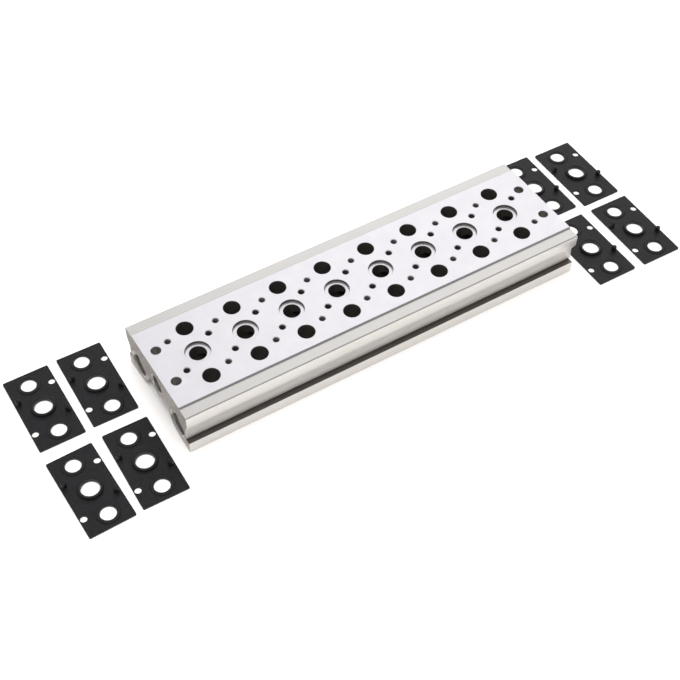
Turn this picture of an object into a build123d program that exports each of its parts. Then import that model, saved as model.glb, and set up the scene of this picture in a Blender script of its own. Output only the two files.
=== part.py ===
"""Eight-station manifold base of a pneumatic valve island, with its loose valve gaskets.

The base is one length of aluminium extrusion, drilled and tapped. X runs along the row of
stations, Y across it, and Z upwards. The origin is on the underside, below the middle of the
base. The gaskets lie beside the two ends with their locating side up.
"""

from build123d import *
import os
from math import cos, radians, sin, tan

os.makedirs("parts", exist_ok=True)

# Row of stations
station_pitch = 23.0
station_count = 8
end_margin = 20.5  # outermost station to the end face
base_length = (station_count - 1) * station_pitch + 2 * end_margin

# Extruded section
base_height = 24.0
base_width = 57.5  # over the lips and over the feet
pad_width = 45.0  # flat that the valves seat on
pad_step = 0.75  # height of the pad and run of its bevelled flanks
lip_height = 5.7
lip_radius = 0.7
recess_depth = 2.15
recess_slope_height = 4.3
recess_radius = 3.0
slot_height = 1.1
slot_depth = 1.5
foot_height = 5.9
foot_width = 9.25
foot_radius = 0.8
web_thickness = 12.5
web_fillet = 1.2

# Galleries along the extrusion: exhausts on both sides, supply in the middle
exhaust_radius = 5.5
exhaust_wall = 2.5
exhaust_spacing = 36.8
exhaust_depth = 15.2  # axis below the pad
supply_radius = 4.0
supply_wall = 3.2
supply_depth = 8.9  # axis below the pad

# Tapped ends of the galleries: tapping drill of G1/4 and of G1/8, mouth as wide as the thread
exhaust_tap_radius = 5.9
exhaust_tap_depth = 13.0
exhaust_mouth_radius = 6.6
supply_tap_radius = 4.4
supply_tap_depth = 11.0
supply_mouth_radius = 4.9

# Drillings of one station, measured from its centre
port_radius = 3.85
port_reach = 14.3  # exhaust ports, across the row
port_shift = 1.0  # exhaust ports, along the row
port_floor_wall = 1.0  # from the floor of an exhaust port to the channel under the web
seat_radius = 5.65  # counterbore of the supply port
seat_depth = 1.2
screw_radius = 1.25  # M3 tapping drill
screw_depth = 7.0
screw_reach = 11.45
screw_shift = 8.6
peg_hole_depth = 3.4
peg_reach = 6.7
peg_shift = 8.6

# Mounting holes, for M4 screws, beyond the outermost stations
mounting_radius = 2.25
mounting_margin = 5.5  # hole to end face
mounting_spacing = 19.1

# Blind holes
drill_point_angle = 118.0
drill_deburr = 0.3
deburr_angle = 90.0

# Gaskets
gasket_width = 21.0
gasket_length = 41.8
gasket_thickness = 1.0
gasket_corner = 0.6
gasket_port_radius = 3.55
ring_radius = 5.2
ring_height = 0.3
collar_bore_radius = 4.15
collar_height = 1.1
collar_clearance = 0.25  # collar to the counterbore it drops into
screw_clearance_radius = 1.55
peg_radius = 1.15
peg_clearance = 0.15
peg_height = 2.8
peg_chamfer = 0.3

# Bench layout of the gaskets: two columns of two beyond each end of the base
bench_gap = 7.8
column_gap = 4.2
row_gap = 6.2
# Shift along, shift across and turn in degrees of each gasket, as laid down by hand
hand_laid = [
    (0.0, 0.3, -0.1),
    (-0.2, 0.5, -0.9),
    (0.0, -0.4, 1.6),
    (-0.1, 0.3, -0.8),
    (0.5, 0.55, -0.8),
    (0.3, -1.4, -0.7),
    (0.0, 0.5, -1.2),
    (-1.4, 1.2, -0.6),
]

shoulder_height = base_height - pad_step
web_height = base_height - web_thickness
half_width = base_width / 2
half_pad = pad_width / 2
half_length = base_length / 2
exhaust_offset = exhaust_spacing / 2
exhaust_height = base_height - exhaust_depth
supply_height = base_height - supply_depth
stations = [station_pitch * (i - (station_count - 1) / 2) for i in range(station_count)]
mounting_offset = half_length - mounting_margin

exhaust_ports = [(port_shift, port_reach), (-port_shift, -port_reach)]
screw_places = [(-screw_shift, screw_reach), (screw_shift, -screw_reach)]
peg_places = [(peg_shift, peg_reach), (-peg_shift, -peg_reach)]


def drill(radius, depth):
    """Blind hole down from the current locations, deburred and ending in a drill point."""
    point = radius / tan(radians(drill_point_angle / 2))
    CounterSinkHole(radius, radius + drill_deburr, depth, deburr_angle)
    with Locations((0, 0, -depth - point / 2)):
        Cone(0, radius, point, mode=Mode.SUBTRACT)


# ---------------------------------------------------------------- manifold base
with BuildPart() as manifold_base:
    # Extruded section: slab with a raised pad, lipped and recessed sides, feet, hanging tubes
    with BuildSketch(Plane.YZ.offset(-half_length)) as section:
        lip_bottom = shoulder_height - lip_height
        recess = half_width - recess_depth
        recess_top = lip_bottom - recess_slope_height
        slot_top = foot_height + slot_height
        with BuildLine():
            Polyline(
                (0, base_height),
                (half_pad, base_height),
                (half_pad + pad_step, shoulder_height),
                (half_width, shoulder_height),
                (half_width, lip_bottom),
                (recess, recess_top),
                (recess, slot_top),
                (recess - slot_depth, slot_top),
                (recess - slot_depth, foot_height),
                (half_width, foot_height),
                (half_width, 0),
                (half_width - foot_width, 0),
                (half_width - foot_width, web_height),
                (0, web_height),
            )
            mirror(about=Plane.YZ)
        make_face()
        with Locations((exhaust_offset, exhaust_height), (-exhaust_offset, exhaust_height)):
            Circle(exhaust_radius + exhaust_wall)
        with Locations((0, supply_height)):
            Circle(supply_radius + supply_wall)
        outline = section.vertices()
        on_lip = outline.filter_by(lambda v: abs(abs(v.X) - half_width) < 0.001)
        fillet(on_lip.filter_by(lambda v: abs(v.Y - shoulder_height) < 0.001), lip_radius)
        fillet(on_lip.filter_by(lambda v: abs(v.Y - foot_height) < 0.001), foot_radius)
        slope_ends = outline.filter_by(
            lambda v: abs(v.Y - lip_bottom) < 0.001 or abs(v.Y - recess_top) < 0.001
        )
        fillet(slope_ends.filter_by(lambda v: abs(v.X) > recess - 0.001), recess_radius)
        fillet(outline.filter_by(lambda v: abs(v.Y - web_height) < 0.001), web_fillet)
        with Locations((exhaust_offset, exhaust_height), (-exhaust_offset, exhaust_height)):
            Circle(exhaust_radius, mode=Mode.SUBTRACT)
        with Locations((0, supply_height)):
            Circle(supply_radius, mode=Mode.SUBTRACT)
    extrude(amount=base_length)

    # Tapped ends of the three galleries
    for end in (-1, 1):
        with BuildSketch(Plane.YZ.offset(end * half_length)):
            with Locations((exhaust_offset, exhaust_height), (-exhaust_offset, exhaust_height)):
                Circle(exhaust_tap_radius)
        extrude(amount=-end * exhaust_tap_depth, mode=Mode.SUBTRACT)
        with BuildSketch(Plane.YZ.offset(end * half_length)):
            with Locations((0, supply_height)):
                Circle(supply_tap_radius)
        extrude(amount=-end * supply_tap_depth, mode=Mode.SUBTRACT)
        mouths = (
            manifold_base.edges()
            .filter_by(GeomType.CIRCLE)
            .filter_by_position(Axis.X, end * half_length, end * half_length)
        )
        chamfer(
            mouths.filter_by(lambda e: abs(e.radius - exhaust_tap_radius) < 0.001),
            exhaust_mouth_radius - exhaust_tap_radius,
        )
        chamfer(
            mouths.filter_by(lambda e: abs(e.radius - supply_tap_radius) < 0.001),
            supply_mouth_radius - supply_tap_radius,
        )

    # Drillings of the stations, from the pad down into the galleries
    for station in stations:
        with Locations((station, 0, base_height)):
            CounterBoreHole(port_radius, seat_radius, seat_depth, supply_depth)
            with Locations(*exhaust_ports):
                Hole(port_radius, depth=web_thickness - port_floor_wall)
            with Locations(*screw_places):
                drill(screw_radius, screw_depth)
            with Locations(*peg_places):
                drill(peg_radius + peg_clearance, peg_hole_depth)

    # Mounting holes, drilled right through at both ends
    with Locations((0, 0, base_height)):
        with GridLocations(2 * mounting_offset, mounting_spacing, 2, 2):
            Hole(mounting_radius, depth=base_height)

manifold_base.part.label = "manifold_base"
export_step(manifold_base.part, "parts/manifold_base.step")


# ---------------------------------------------------------------- gaskets
def turned_over(places):
    """Places of the station's drillings as a gasket shows them from its underside."""
    return [(-along, across) for along, across in places]


inner_column = half_length + bench_gap + gasket_width / 2
outer_column = inner_column + gasket_width + column_gap
row = (gasket_length + row_gap) / 2
bench_places = [
    (-outer_column, row),
    (-inner_column, row),
    (-outer_column, -row),
    (-inner_column, -row),
    (inner_column, row),
    (outer_column, row),
    (outer_column, -row),
    (inner_column, -row),
]

for number, ((along, across), (slip_along, slip_across, turn)) in enumerate(
    zip(bench_places, hand_laid), start=1
):
    turn = radians(turn)
    bench = Plane(
        origin=(along + slip_along, across + slip_across, 0), x_dir=(cos(turn), sin(turn), 0)
    )
    top = bench.offset(gasket_thickness)
    with BuildPart() as gasket:
        with BuildSketch(bench):
            RectangleRounded(gasket_width, gasket_length, gasket_corner)
        extrude(amount=gasket_thickness)
        with BuildSketch(top):
            with Locations(*turned_over(exhaust_ports)):
                Circle(ring_radius)
        extrude(amount=ring_height)
        with BuildSketch(top):
            Circle(seat_radius - collar_clearance)
        extrude(amount=collar_height)
        with BuildSketch(top):
            with Locations(*turned_over(peg_places)):
                Circle(peg_radius)
        extrude(amount=peg_height)
        peg_tips = gasket.faces().group_by(Axis.Z)[-1].edges()
        chamfer(peg_tips, peg_chamfer)
        with BuildSketch(bench):
            Circle(collar_bore_radius)
            with Locations(*turned_over(exhaust_ports)):
                Circle(gasket_port_radius)
            with Locations(*turned_over(screw_places)):
                Circle(screw_clearance_radius)
        extrude(amount=gasket_thickness + collar_height, mode=Mode.SUBTRACT)
    gasket.part.label = f"gasket_{number}"
    export_step(gasket.part, f"parts/gasket_{number}.step")
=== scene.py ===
"""Manifold base of a pneumatic valve island, with its eight loose valve gaskets beside it.

The base is one length of aluminium extrusion, milled, drilled, tapped and anodised. The gaskets
are moulded rubber and lie with their locating side up. All sizes are in metres.
"""

from math import hypot, radians

import bpy
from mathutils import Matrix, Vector


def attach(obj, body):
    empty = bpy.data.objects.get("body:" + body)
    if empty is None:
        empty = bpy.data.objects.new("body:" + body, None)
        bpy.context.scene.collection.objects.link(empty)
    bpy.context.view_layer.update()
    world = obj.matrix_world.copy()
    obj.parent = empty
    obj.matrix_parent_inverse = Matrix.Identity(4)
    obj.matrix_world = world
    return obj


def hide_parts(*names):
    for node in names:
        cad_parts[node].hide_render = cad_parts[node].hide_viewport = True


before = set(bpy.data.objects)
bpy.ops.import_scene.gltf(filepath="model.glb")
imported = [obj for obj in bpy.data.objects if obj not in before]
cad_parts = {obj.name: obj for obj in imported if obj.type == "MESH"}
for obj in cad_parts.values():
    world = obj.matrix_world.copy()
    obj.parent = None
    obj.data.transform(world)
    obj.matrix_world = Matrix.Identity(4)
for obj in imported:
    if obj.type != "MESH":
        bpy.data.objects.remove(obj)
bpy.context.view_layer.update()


# Studio: a sheet of white paper under the object, a big soft window high behind it on the right,
# a wide soft box overhead, and a grey room around them. The camera looks down on the row of
# stations from the front left.
mm = 0.001


def linear(colour):
    """Linear red, green, blue and alpha of an sRGB hex colour."""
    shares = [int(colour[i:i + 2], 16) / 255 for i in (1, 3, 5)]
    return [s / 12.92 if s <= 0.04045 else ((s + 0.055) / 1.055) ** 2.4 for s in shares] + [1.0]


def add(material, kind, settings):
    """Adds a node to a material or to the world. A setting is a value or an output to link."""
    node = material.node_tree.nodes.new(kind)
    for name, value in settings.items():
        if isinstance(value, bpy.types.NodeSocket):
            material.node_tree.links.new(value, node.inputs[name])
        elif isinstance(name, str) and hasattr(node, name):
            setattr(node, name, value)
        else:
            node.inputs[name].default_value = value
    return node


def new_material(name):
    """An empty material."""
    material = bpy.data.materials.new(name)
    material.use_nodes = True
    material.node_tree.nodes.clear()
    return material


# White cartridge paper, pressed: dead matt, with a faint tooth. The real tooth of 0.2 mm is too
# fine to show, so it is drawn 0.8 mm.
paper = new_material("white_cartridge_paper_pressed")
place = add(paper, "ShaderNodeTexCoord", {}).outputs["Object"]
tooth = add(paper, "ShaderNodeTexNoise", {"Scale": 1 / (0.8 * mm), "Vector": place})
tooth_relief = add(
    paper,
    "ShaderNodeBump",
    {"Strength": 0.05, "Distance": 0.02 * mm, "Height": tooth.outputs["Fac"]},
)
paper_shader = add(
    paper,
    "ShaderNodeBsdfPrincipled",
    {
        "Base Color": linear("#F2F2F3"),
        "Roughness": 0.95,
        "Specular IOR Level": 0.2,
        "Normal": tooth_relief.outputs["Normal"],
    },
)
add(paper, "ShaderNodeOutputMaterial", {"Surface": paper_shader.outputs["BSDF"]})

# The sheet lies a hair below the object, so that the two surfaces never share a place
paper_width = 3.4
paper_gap = 0.02 * mm
bpy.ops.object.select_all(action="DESELECT")
bpy.ops.mesh.primitive_plane_add(size=paper_width, location=(0, 0, -paper_gap))
floor = bpy.context.object
floor.name = "paper_floor"
bpy.ops.object.transform_apply(location=True)
floor.data.materials.append(paper)

# The room: pale along the horizon and overhead, grey between, where its walls are, and dark
# around one spot in front, where its door stands open
door = (0.20, -0.75, 0.63)
world = bpy.data.worlds.new("grey_room")
bpy.context.scene.world = world
world.use_nodes = True
world.node_tree.nodes.clear()
towards = add(world, "ShaderNodeTexCoord", {}).outputs["Generated"]
upwards = add(world, "ShaderNodeSeparateXYZ", {"Vector": towards})
room_tones = add(world, "ShaderNodeValToRGB", {"Fac": upwards.outputs["Z"]})
room_tones.color_ramp.elements[0].color = linear("#E8E8EA")
room_tones.color_ramp.elements[0].position = 0.02
room_tones.color_ramp.elements[1].color = linear("#E4E4E8")
room_tones.color_ramp.elements[1].position = 0.98
for height, tone in ((0.26, "#CCCCD0"), (0.46, "#9A9A9E"), (0.84, "#9A9A9E")):
    room_tones.color_ramp.elements.new(height).color = linear(tone)
to_door = add(
    world,
    "ShaderNodeVectorMath",
    {"operation": "DOT_PRODUCT", 0: towards, 1: door},
)
in_door = add(
    world,
    "ShaderNodeMapRange",
    {"Value": to_door.outputs["Value"], "From Min": 0.84, "From Max": 0.95},
)
room_colour = add(
    world,
    "ShaderNodeMix",
    {
        "data_type": "RGBA",
        0: in_door.outputs["Result"],
        6: room_tones.outputs["Color"],
        7: linear("#4C4C4F"),
    },
)
room = add(world, "ShaderNodeBackground", {"Color": room_colour.outputs[2]})
add(world, "ShaderNodeOutputWorld", {"Surface": room.outputs["Background"]})


def soft_light(name, place, size, power, colour, in_reflections):
    """A square soft light aimed at the middle of the object, seen in reflections or not."""
    bpy.ops.object.light_add(type="AREA", location=place)
    light = bpy.context.object
    light.name = name
    light.data.shape = "SQUARE"
    light.data.size = size
    light.data.energy = power
    light.data.color = linear(colour)[:3]
    light.rotation_euler = (-Vector(place)).to_track_quat("-Z", "Y").to_euler()
    light.visible_glossy = in_reflections


soft_light("window_light", (0.75, 0.95, 1.15), 1.5, 7.0, "#FFFFFF", True)
soft_light("overhead_light", (-0.2, -0.3, 2.2), 2.0, 66.0, "#FFFBF5", False)

bpy.ops.object.camera_add(
    location=(-0.20715, -0.31541, 0.43591),
    rotation=(radians(39.686), radians(-0.490), radians(-31.481)),
)
camera = bpy.context.object
camera.name = "camera"
camera.data.lens = 66.35
camera.data.sensor_width = 36.0
camera.data.clip_start = 0.01
bpy.context.scene.camera = camera
bpy.context.scene.view_settings.view_transform = "Standard"


# Manifold base: one length of 6063 aluminium extrusion with three galleries. Its pad is milled
# flat, its ends are sawn, and it is drilled for eight stations and tapped in both ends, then
# bead blasted lightly and anodised in silver. Its solid is kept, with every sharp edge rounded.
base_length = 202 * mm
base_height = 24 * mm
pad_width = 45 * mm
foot_height = 5.9 * mm
slot_height = 1.1 * mm
slot_reach = 25 * mm  # innermost wall of the slots, from the middle
web_height = 11.5 * mm
station_pitch = 23 * mm
station_count = 8
seat_depth = 1.2 * mm
ports_reach = 21 * mm  # outermost wall of the ports, from the middle
deburr = 0.3 * mm

# Galleries: place of the axis across the base and above its feet, then the radius of the bore,
# of the tapped end and of its mouth
exhaust_axis = (18.4 * mm, 8.8 * mm)
exhaust_radius = 5.5 * mm
exhaust_tap_radius = 5.9 * mm
exhaust_mouth_radius = 6.6 * mm
supply_axis = (0.0, 15.1 * mm)
supply_radius = 4.0 * mm
supply_tap_radius = 4.4 * mm
supply_mouth_radius = 4.9 * mm
tapped_depth = 13 * mm  # of the exhaust galleries, the deeper ones

# Extruded 6063, anodised: satin and faintly warm, streaked along its length by the die. Real die
# lines and the grain of the blast are 0.1 mm, too fine to show, so they are drawn 0.7 and 0.5 mm.
extruded = new_material("silver_anodised_6063_as_extruded")
place = add(extruded, "ShaderNodeTexCoord", {}).outputs["Object"]
along_die = add(
    extruded,
    "ShaderNodeMapping",
    {"Scale": (2.0, 1 / (0.7 * mm), 1 / (0.7 * mm)), "Vector": place},
)
die_lines = add(
    extruded,
    "ShaderNodeTexNoise",
    {"Scale": 1.0, "Detail": 3.0, "Vector": along_die.outputs["Vector"]},
)
blasted = add(
    extruded, "ShaderNodeTexNoise", {"Scale": 1 / (0.5 * mm), "Detail": 2.0, "Vector": place}
)
clouds = add(
    extruded, "ShaderNodeTexNoise", {"Scale": 1 / (18 * mm), "Detail": 2.0, "Vector": place}
)
streaks = add(
    extruded,
    "ShaderNodeMix",
    {
        "data_type": "RGBA",
        0: die_lines.outputs["Fac"],
        6: linear("#D3D1CE"),
        7: linear("#E1DFDC"),
    },
)
extruded_colour = add(
    extruded,
    "ShaderNodeMix",
    {
        "data_type": "RGBA",
        "blend_type": "MULTIPLY",
        0: clouds.outputs["Fac"],
        6: streaks.outputs[2],
        7: linear("#F6F5F3"),
    },
)
extruded_gloss = add(
    extruded,
    "ShaderNodeMapRange",
    {"Value": die_lines.outputs["Fac"], "To Min": 0.38, "To Max": 0.48},
)
extruded_relief = add(
    extruded,
    "ShaderNodeMath",
    {"operation": "ADD", 0: die_lines.outputs["Fac"], 1: blasted.outputs["Fac"]},
)
extruded_bump = add(
    extruded,
    "ShaderNodeBump",
    {"Strength": 0.25, "Distance": 0.01 * mm, "Height": extruded_relief.outputs["Value"]},
)
extruded_shader = add(
    extruded,
    "ShaderNodeBsdfPrincipled",
    {
        "Metallic": 0.94,
        "Base Color": extruded_colour.outputs[2],
        "Roughness": extruded_gloss.outputs["Result"],
        "Normal": extruded_bump.outputs["Normal"],
    },
)
add(extruded, "ShaderNodeOutputMaterial", {"Surface": extruded_shader.outputs["BSDF"]})

# Milled 6063, blasted and anodised: brighter and cooler than the extruded skin, with faint lilac
# patches of 7 mm, where the anodising took unevenly. The grain of the blast is drawn 0.5 mm here
# too.
milled = new_material("silver_anodised_6063_milled_and_blasted")
place = add(milled, "ShaderNodeTexCoord", {}).outputs["Object"]
grain = add(
    milled, "ShaderNodeTexNoise", {"Scale": 1 / (0.5 * mm), "Detail": 3.0, "Vector": place}
)
patches = add(
    milled, "ShaderNodeTexNoise", {"Scale": 1 / (7 * mm), "Detail": 2.0, "Vector": place}
)
milled_grain = add(
    milled,
    "ShaderNodeMix",
    {
        "data_type": "RGBA",
        0: grain.outputs["Fac"],
        6: linear("#DFDDDE"),
        7: linear("#F4F2F3"),
    },
)
milled_colour = add(
    milled,
    "ShaderNodeMix",
    {
        "data_type": "RGBA",
        "blend_type": "MULTIPLY",
        0: patches.outputs["Fac"],
        6: milled_grain.outputs[2],
        7: linear("#F1EFF4"),
    },
)
milled_gloss = add(
    milled,
    "ShaderNodeMapRange",
    {"Value": grain.outputs["Fac"], "To Min": 0.32, "To Max": 0.42},
)
milled_bump = add(
    milled,
    "ShaderNodeBump",
    {"Strength": 0.2, "Distance": 0.01 * mm, "Height": grain.outputs["Fac"]},
)
milled_shader = add(
    milled,
    "ShaderNodeBsdfPrincipled",
    {
        "Metallic": 1.0,
        "Base Color": milled_colour.outputs[2],
        "Roughness": milled_gloss.outputs["Result"],
        "Normal": milled_bump.outputs["Normal"],
    },
)
add(milled, "ShaderNodeOutputMaterial", {"Surface": milled_shader.outputs["BSDF"]})

# Sawn 6063, anodised: dull brownish grey with the saw's shallow arcs. The torn surface scatters
# the light, and its colour is also darkened with painted shade for the end faces. Real arcs and
# tears are 0.2 mm apart, too fine to show, so the arcs are drawn 5.7 mm apart and the tears 1.5
# mm.
sawn_and_shaded = new_material("silver_anodised_6063_sawn_and_shaded")
place = add(sawn_and_shaded, "ShaderNodeTexCoord", {}).outputs["Object"]
saw_arcs = add(
    sawn_and_shaded,
    "ShaderNodeTexWave",
    {
        "wave_type": "RINGS",
        "rings_direction": "X",
        "Scale": 1 / (18 * mm),
        "Distortion": 2.0,
        "Detail": 2.0,
        "Vector": place,
    },
)
torn = add(sawn_and_shaded, "ShaderNodeTexNoise", {"Scale": 1 / (1.5 * mm), "Detail": 4.0, "Vector": place})
# The colour is darker partly for the dull torn surface and partly as painted shade on the end
# faces
sawn_and_shade_colour = add(
    sawn_and_shaded,
    "ShaderNodeMix",
    {
        "data_type": "RGBA",
        0: torn.outputs["Fac"],
        6: linear("#928D87"),
        7: linear("#D2CDC7"),
    },
)
sawn_relief = add(
    sawn_and_shaded,
    "ShaderNodeMath",
    {"operation": "MULTIPLY_ADD", 0: saw_arcs.outputs["Fac"], 1: 0.4, 2: torn.outputs["Fac"]},
)
sawn_bump = add(
    sawn_and_shaded,
    "ShaderNodeBump",
    {"Strength": 0.3, "Distance": 0.02 * mm, "Height": sawn_relief.outputs["Value"]},
)
sawn_shader = add(
    sawn_and_shaded,
    "ShaderNodeBsdfPrincipled",
    {
        "Metallic": 0.8,
        "Base Color": sawn_and_shade_colour.outputs[2],
        "Roughness": 0.55,
        "Normal": sawn_bump.outputs["Normal"],
    },
)
add(sawn_and_shaded, "ShaderNodeOutputMaterial", {"Surface": sawn_shader.outputs["BSDF"]})

# Drilled 6063: dull, with the drill's fine marks, because the blast never reached into the bores.
# Its dark colour is also painted shade, which stands in for the shade deep in the bores, in the
# slots and on the shelves below them. The marks of 0.1 mm are too fine to show and are drawn 0.4
# mm.
drilled_and_shaded = new_material("anodised_6063_drilled_with_painted_shade")
place = add(drilled_and_shaded, "ShaderNodeTexCoord", {}).outputs["Object"]
tool_marks = add(
    drilled_and_shaded, "ShaderNodeTexNoise", {"Scale": 1 / (0.4 * mm), "Detail": 2.0, "Vector": place}
)
# Painted shade: the dull drilled colour is kept dark for the shade inside the bores and the slots
drilled_and_shade_colour = add(
    drilled_and_shaded,
    "ShaderNodeMix",
    {
        "data_type": "RGBA",
        0: tool_marks.outputs["Fac"],
        6: linear("#5F5B57"),
        7: linear("#85807A"),
    },
)
drilled_bump = add(
    drilled_and_shaded,
    "ShaderNodeBump",
    {"Strength": 0.3, "Distance": 0.02 * mm, "Height": tool_marks.outputs["Fac"]},
)
drilled_shader = add(
    drilled_and_shaded,
    "ShaderNodeBsdfPrincipled",
    {
        "Metallic": 0.75,
        "Base Color": drilled_and_shade_colour.outputs[2],
        "Roughness": 0.5,
        "Normal": drilled_bump.outputs["Normal"],
    },
)
add(drilled_and_shaded, "ShaderNodeOutputMaterial", {"Surface": drilled_shader.outputs["BSDF"]})

# Tapped 6063, anodised: the tap burnishes the flanks, so they shine brighter than the drilled
# walls, with small tears of 0.3 mm
tapped = new_material("anodised_6063_tapped")
place = add(tapped, "ShaderNodeTexCoord", {}).outputs["Object"]
tears = add(
    tapped, "ShaderNodeTexNoise", {"Scale": 1 / (0.3 * mm), "Detail": 2.0, "Vector": place}
)
tapped_colour = add(
    tapped,
    "ShaderNodeMix",
    {
        "data_type": "RGBA",
        0: tears.outputs["Fac"],
        6: linear("#A6A29C"),
        7: linear("#D4D0CA"),
    },
)
tapped_bump = add(
    tapped,
    "ShaderNodeBump",
    {"Strength": 0.2, "Distance": 0.01 * mm, "Height": tears.outputs["Fac"]},
)
tapped_shader = add(
    tapped,
    "ShaderNodeBsdfPrincipled",
    {
        "Metallic": 1.0,
        "Base Color": tapped_colour.outputs[2],
        "Roughness": 0.34,
        "Normal": tapped_bump.outputs["Normal"],
    },
)
add(tapped, "ShaderNodeOutputMaterial", {"Surface": tapped_shader.outputs["BSDF"]})


def merged_copy(node_name, name):
    """A copy of a solid's mesh with its loose triangles joined into flat faces."""
    piece = bpy.data.objects.new(name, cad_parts[node_name].data.copy())
    bpy.context.collection.objects.link(piece)
    bpy.ops.object.select_all(action="DESELECT")
    piece.select_set(True)
    bpy.context.view_layer.objects.active = piece
    piece.data.materials.clear()
    bpy.ops.object.mode_set(mode="EDIT")
    bpy.ops.mesh.select_mode(type="FACE")
    bpy.ops.mesh.select_all(action="SELECT")
    bpy.ops.mesh.remove_doubles(threshold=0.002 * mm)
    bpy.ops.mesh.dissolve_limited(angle_limit=radians(0.3))
    bpy.ops.object.mode_set(mode="OBJECT")
    return piece


def give(piece, material, belongs):
    """Puts a material on the piece's faces that belong to it by their centre and normal."""
    piece.data.materials.append(material)
    bpy.ops.object.mode_set(mode="EDIT")
    bpy.ops.mesh.select_all(action="DESELECT")
    bpy.ops.object.mode_set(mode="OBJECT")
    for face in piece.data.polygons:
        face.select = belongs(face.center, face.normal)
    bpy.ops.object.mode_set(mode="EDIT")
    piece.active_material_index = len(piece.data.materials) - 1
    bpy.ops.object.material_slot_assign()
    bpy.ops.object.mode_set(mode="OBJECT")


def round_edges(piece, radius):
    """Rounds the piece's sharp edges and shades it by angle."""
    bpy.ops.object.shade_smooth_by_angle(angle=radians(30))
    rounding = piece.modifiers.new("rounding", "BEVEL")
    rounding.width = radius
    rounding.segments = 2
    rounding.angle_limit = radians(35)
    rounding.use_clamp_overlap = False
    bpy.ops.object.modifier_apply(modifier="rounding")
    evening = piece.modifiers.new("evening", "WEIGHTED_NORMAL")
    evening.keep_sharp = True
    evening.weight = 100
    bpy.ops.object.modifier_apply(modifier="evening")


# The finishes are given by place, with a little room for the facets of the curves
slack = 0.05 * mm


def from_end(centre):
    """Distance of a place from the nearer end face."""
    return base_length / 2 - abs(centre.x)


def from_axis(centre, axis):
    """Distance of a place from a gallery's axis, on the nearer side of the base."""
    return hypot(abs(centre.y) - axis[0], centre.z - axis[1])


def everywhere(centre, normal):
    """The whole piece."""
    return True


def on_pad(centre, normal):
    """Milled faces: the pad, the floors of the seats and the deburred mouths."""
    above_bores = centre.z > base_height - seat_depth - slack
    return above_bores and abs(centre.y) < pad_width / 2 + slack and from_end(centre) > slack


def on_end(centre, normal):
    """The two sawn end faces."""
    return from_end(centre) < slack


def in_bores_and_shade(centre, normal):
    """Faces in the dark drilled finish: galleries and station drillings, dark partly by painted
    shade, and the slots and their shelves, dark by painted shade only.
    """
    in_exhaust = from_axis(centre, exhaust_axis) < exhaust_tap_radius + slack
    in_supply = from_axis(centre, supply_axis) < supply_tap_radius + slack
    beside_slot = foot_height - slack < centre.z < foot_height + slot_height + slack
    # The slots and the shelves of the feet get the dark drilled colour as painted shade, for the
    # shade under the lips
    in_slot_shade = beside_slot and abs(centre.y) > slot_reach
    upper = web_height + slack < centre.z < base_height - deburr - slack
    along_row = abs(centre.x) < station_count / 2 * station_pitch
    at_station = along_row and abs(centre.y) < ports_reach
    in_drilling = upper and at_station and abs(normal.z) < 0.95
    return from_end(centre) > slack and (in_exhaust or in_supply or in_slot_shade or in_drilling)


def in_thread(centre, normal):
    """Walls and mouths of the tapped ends of the galleries."""
    to_exhaust = from_axis(centre, exhaust_axis)
    to_supply = from_axis(centre, supply_axis)
    in_exhaust = exhaust_radius + slack < to_exhaust < exhaust_mouth_radius + slack
    in_supply = supply_radius + slack < to_supply < supply_mouth_radius + slack
    return (in_exhaust or in_supply) and slack < from_end(centre) < tapped_depth + slack


base = merged_copy("manifold_base", "manifold_base_finished")
give(base, extruded, everywhere)
give(base, milled, on_pad)
# The end faces get the sawn finish, darkened with painted shade
give(base, sawn_and_shaded, on_end)
# Painted shade: the bores, the slots and their shelves take the darkened drilled colour
give(base, drilled_and_shaded, in_bores_and_shade)
give(base, tapped, in_thread)
edge_radius = 0.12 * mm
round_edges(base, edge_radius)
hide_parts("manifold_base")
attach(base, "root")


# Threads: G1/4 in the ends of the exhaust galleries, G1/8 in those of the supply gallery and M3
# in the sixteen screw holes of the pad, all tapped into the base and right-handed. Each is a
# ridge that winds up the wall of its bore. Those of M3 take the drilled walls' dull finish, with
# its painted shade for the depth of the small bores.
screw_radius = 1.25 * mm
screw_reach = 11.45 * mm  # from the middle of the station, across the base
screw_shift = 8.6 * mm  # and along it
first_turn_in_end = 0.9 * mm
first_turn_in_pad = 0.4 * mm


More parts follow.
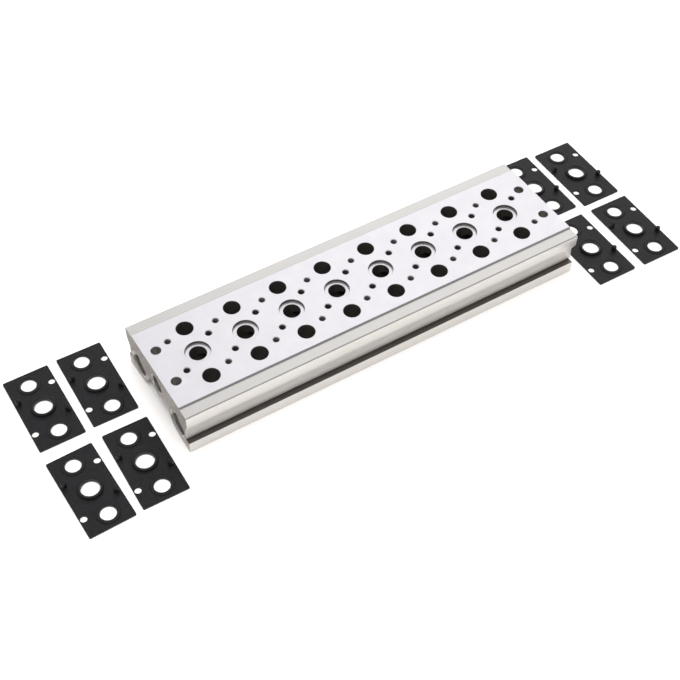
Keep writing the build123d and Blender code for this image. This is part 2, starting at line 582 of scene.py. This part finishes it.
def wound_ridge(wall_radius, pitch, height, turns, steps, material):
    """A ridge wound upwards inside a bore about Z, rooted just inside the bore's wall."""
    root = 0.03 * mm
    tall = height + root
    wide = 0.92 * pitch  # leaves a narrow groove between the turns
    bpy.ops.object.select_all(action="DESELECT")
    bpy.ops.mesh.primitive_circle_add(vertices=3, radius=1.0, rotation=(0, radians(90), 0))
    ridge = bpy.context.object
    bpy.ops.object.transform_apply()
    # The profile starts as an equilateral triangle of radius 1, so 1.732 wide and 1.5 tall
    bpy.ops.object.mode_set(mode="EDIT")
    bpy.ops.mesh.select_all(action="SELECT")
    bpy.ops.transform.resize(
        value=(1.0, -tall / 1.5, wide / 1.732), center_override=(0, 0, 0)
    )
    bpy.ops.transform.translate(value=(0, wall_radius + root - tall / 3, pitch / 2))
    bpy.ops.object.mode_set(mode="OBJECT")
    winding = ridge.modifiers.new("winding", "SCREW")
    winding.screw_offset = pitch
    winding.iterations = turns
    winding.steps = steps
    winding.render_steps = steps
    winding.use_merge_vertices = True
    winding.merge_threshold = 0.001 * mm
    bpy.ops.object.modifier_apply(modifier="winding")
    bpy.ops.object.mode_set(mode="EDIT")
    bpy.ops.mesh.select_mode(type="EDGE")
    bpy.ops.mesh.select_all(action="DESELECT")
    bpy.ops.mesh.select_non_manifold()
    bpy.ops.mesh.edge_face_add()
    bpy.ops.mesh.select_all(action="SELECT")
    bpy.ops.mesh.normals_make_consistent(inside=False)
    bpy.ops.object.mode_set(mode="OBJECT")
    bpy.ops.object.shade_smooth_by_angle(angle=radians(35))
    ridge.data.materials.append(material)
    return ridge


def lay_thread(ridge, name, mouth, turn):
    """A copy of a ridge that starts at the mouth and winds inwards."""
    thread = ridge.copy()
    thread.data = ridge.data.copy()
    thread.name = name
    bpy.context.collection.objects.link(thread)
    thread.location = mouth
    thread.rotation_euler = turn
    bpy.ops.object.select_all(action="DESELECT")
    thread.select_set(True)
    bpy.context.view_layer.objects.active = thread
    bpy.ops.object.transform_apply()
    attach(thread, "root")


exhaust_ridge = wound_ridge(exhaust_tap_radius, 1.337 * mm, 0.5 * mm, 8, 48, tapped)
supply_ridge = wound_ridge(supply_tap_radius, 0.907 * mm, 0.36 * mm, 10, 40, tapped)
screw_ridge = wound_ridge(screw_radius, 0.5 * mm, 0.2 * mm, 11, 16, drilled_and_shaded)

for side, end in (("left", -1), ("right", 1)):
    inwards = (0, -end * radians(90), 0)
    mouth_x = end * (base_length / 2 - first_turn_in_end)
    for row, across in (("front", -exhaust_axis[0]), ("rear", exhaust_axis[0])):
        mouth = (mouth_x, across, exhaust_axis[1])
        lay_thread(exhaust_ridge, f"exhaust_thread_{row}_{side}", mouth, inwards)
    mouth = (mouth_x, supply_axis[0], supply_axis[1])
    lay_thread(supply_ridge, f"supply_thread_{side}", mouth, inwards)

downwards = (radians(180), 0, 0)
mouth_z = base_height - first_turn_in_pad
for station in range(station_count):
    station_x = (station - (station_count - 1) / 2) * station_pitch
    for row, across in (("rear", 1), ("front", -1)):
        mouth = (station_x - across * screw_shift, across * screw_reach, mouth_z)
        lay_thread(screw_ridge, f"screw_thread_{station + 1}_{row}", mouth, downwards)

for ridge in (exhaust_ridge, supply_ridge, screw_ridge):
    bpy.data.objects.remove(ridge)


# Valve gaskets: plates of black nitrile rubber moulded with a collar, two raised rings and two
# locating pegs, one for each station. They lie loose on the paper. The collar and the rings
# carry a raised sealing bead along the middle of their tops.
ring_top = 1.3 * mm
collar_top = 2.1 * mm
bead_margin = 0.4 * mm
bead_height = 0.12 * mm

# Moulded nitrile rubber: near-black charcoal with a dull sheen, paler in patches of 6 mm. The
# mould's eroded texture is 0.1 mm, too fine to show, so it is drawn 0.7 mm.
rubber = new_material("nitrile_rubber_moulded")
place = add(rubber, "ShaderNodeTexCoord", {}).outputs["Object"]
# A noise makes the charcoal paler in patches of 6 mm
pale_patches = add(
    rubber, "ShaderNodeTexNoise", {"Scale": 1 / (6 * mm), "Detail": 4.0, "Vector": place}
)
eroded = add(
    rubber, "ShaderNodeTexNoise", {"Scale": 1 / (0.7 * mm), "Detail": 3.0, "Vector": place}
)
speckle = add(
    rubber,
    "ShaderNodeMapRange",
    {"Value": eroded.outputs["Fac"], "From Min": 0.35, "From Max": 0.65},
)
speckled = add(
    rubber,
    "ShaderNodeMix",
    {
        "data_type": "RGBA",
        0: speckle.outputs["Result"],
        6: linear("#070708"),
        7: linear("#18181A"),
    },
)
patched = add(
    rubber,
    "ShaderNodeMix",
    {
        "data_type": "RGBA",
        "blend_type": "ADD",
        0: pale_patches.outputs["Fac"],
        6: speckled.outputs[2],
        7: linear("#0E0E10"),
    },
)
rubber_gloss = add(
    rubber,
    "ShaderNodeMapRange",
    {"Value": eroded.outputs["Fac"], "To Min": 0.4, "To Max": 0.56},
)
rubber_bump = add(
    rubber,
    "ShaderNodeBump",
    {"Strength": 0.4, "Distance": 0.03 * mm, "Height": eroded.outputs["Fac"]},
)
rubber_shader = add(
    rubber,
    "ShaderNodeBsdfPrincipled",
    {
        "Specular IOR Level": 0.3,
        "Base Color": patched.outputs[2],
        "Roughness": rubber_gloss.outputs["Result"],
        "Normal": rubber_bump.outputs["Normal"],
    },
)
add(rubber, "ShaderNodeOutputMaterial", {"Surface": rubber_shader.outputs["BSDF"]})


def on_sealing_ring(centre, normal):
    """The tops of the collar and of the two raised rings."""
    on_ring = abs(centre.z - ring_top) < slack
    on_collar = abs(centre.z - collar_top) < slack
    return normal.z > 0.99 and (on_ring or on_collar)


for number in range(1, station_count + 1):
    gasket = merged_copy(f"gasket_{number}", f"gasket_{number}_moulded")
    # It is rubber all over. The tops of the rings and the collar stay selected for their beads.
    give(gasket, rubber, on_sealing_ring)
    bpy.ops.object.mode_set(mode="EDIT")
    bpy.ops.mesh.inset(thickness=bead_margin)
    bpy.ops.transform.translate(value=(0, 0, bead_height))
    bpy.ops.object.mode_set(mode="OBJECT")
    round_edges(gasket, edge_radius)
    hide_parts(f"gasket_{number}")
    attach(gasket, "root")
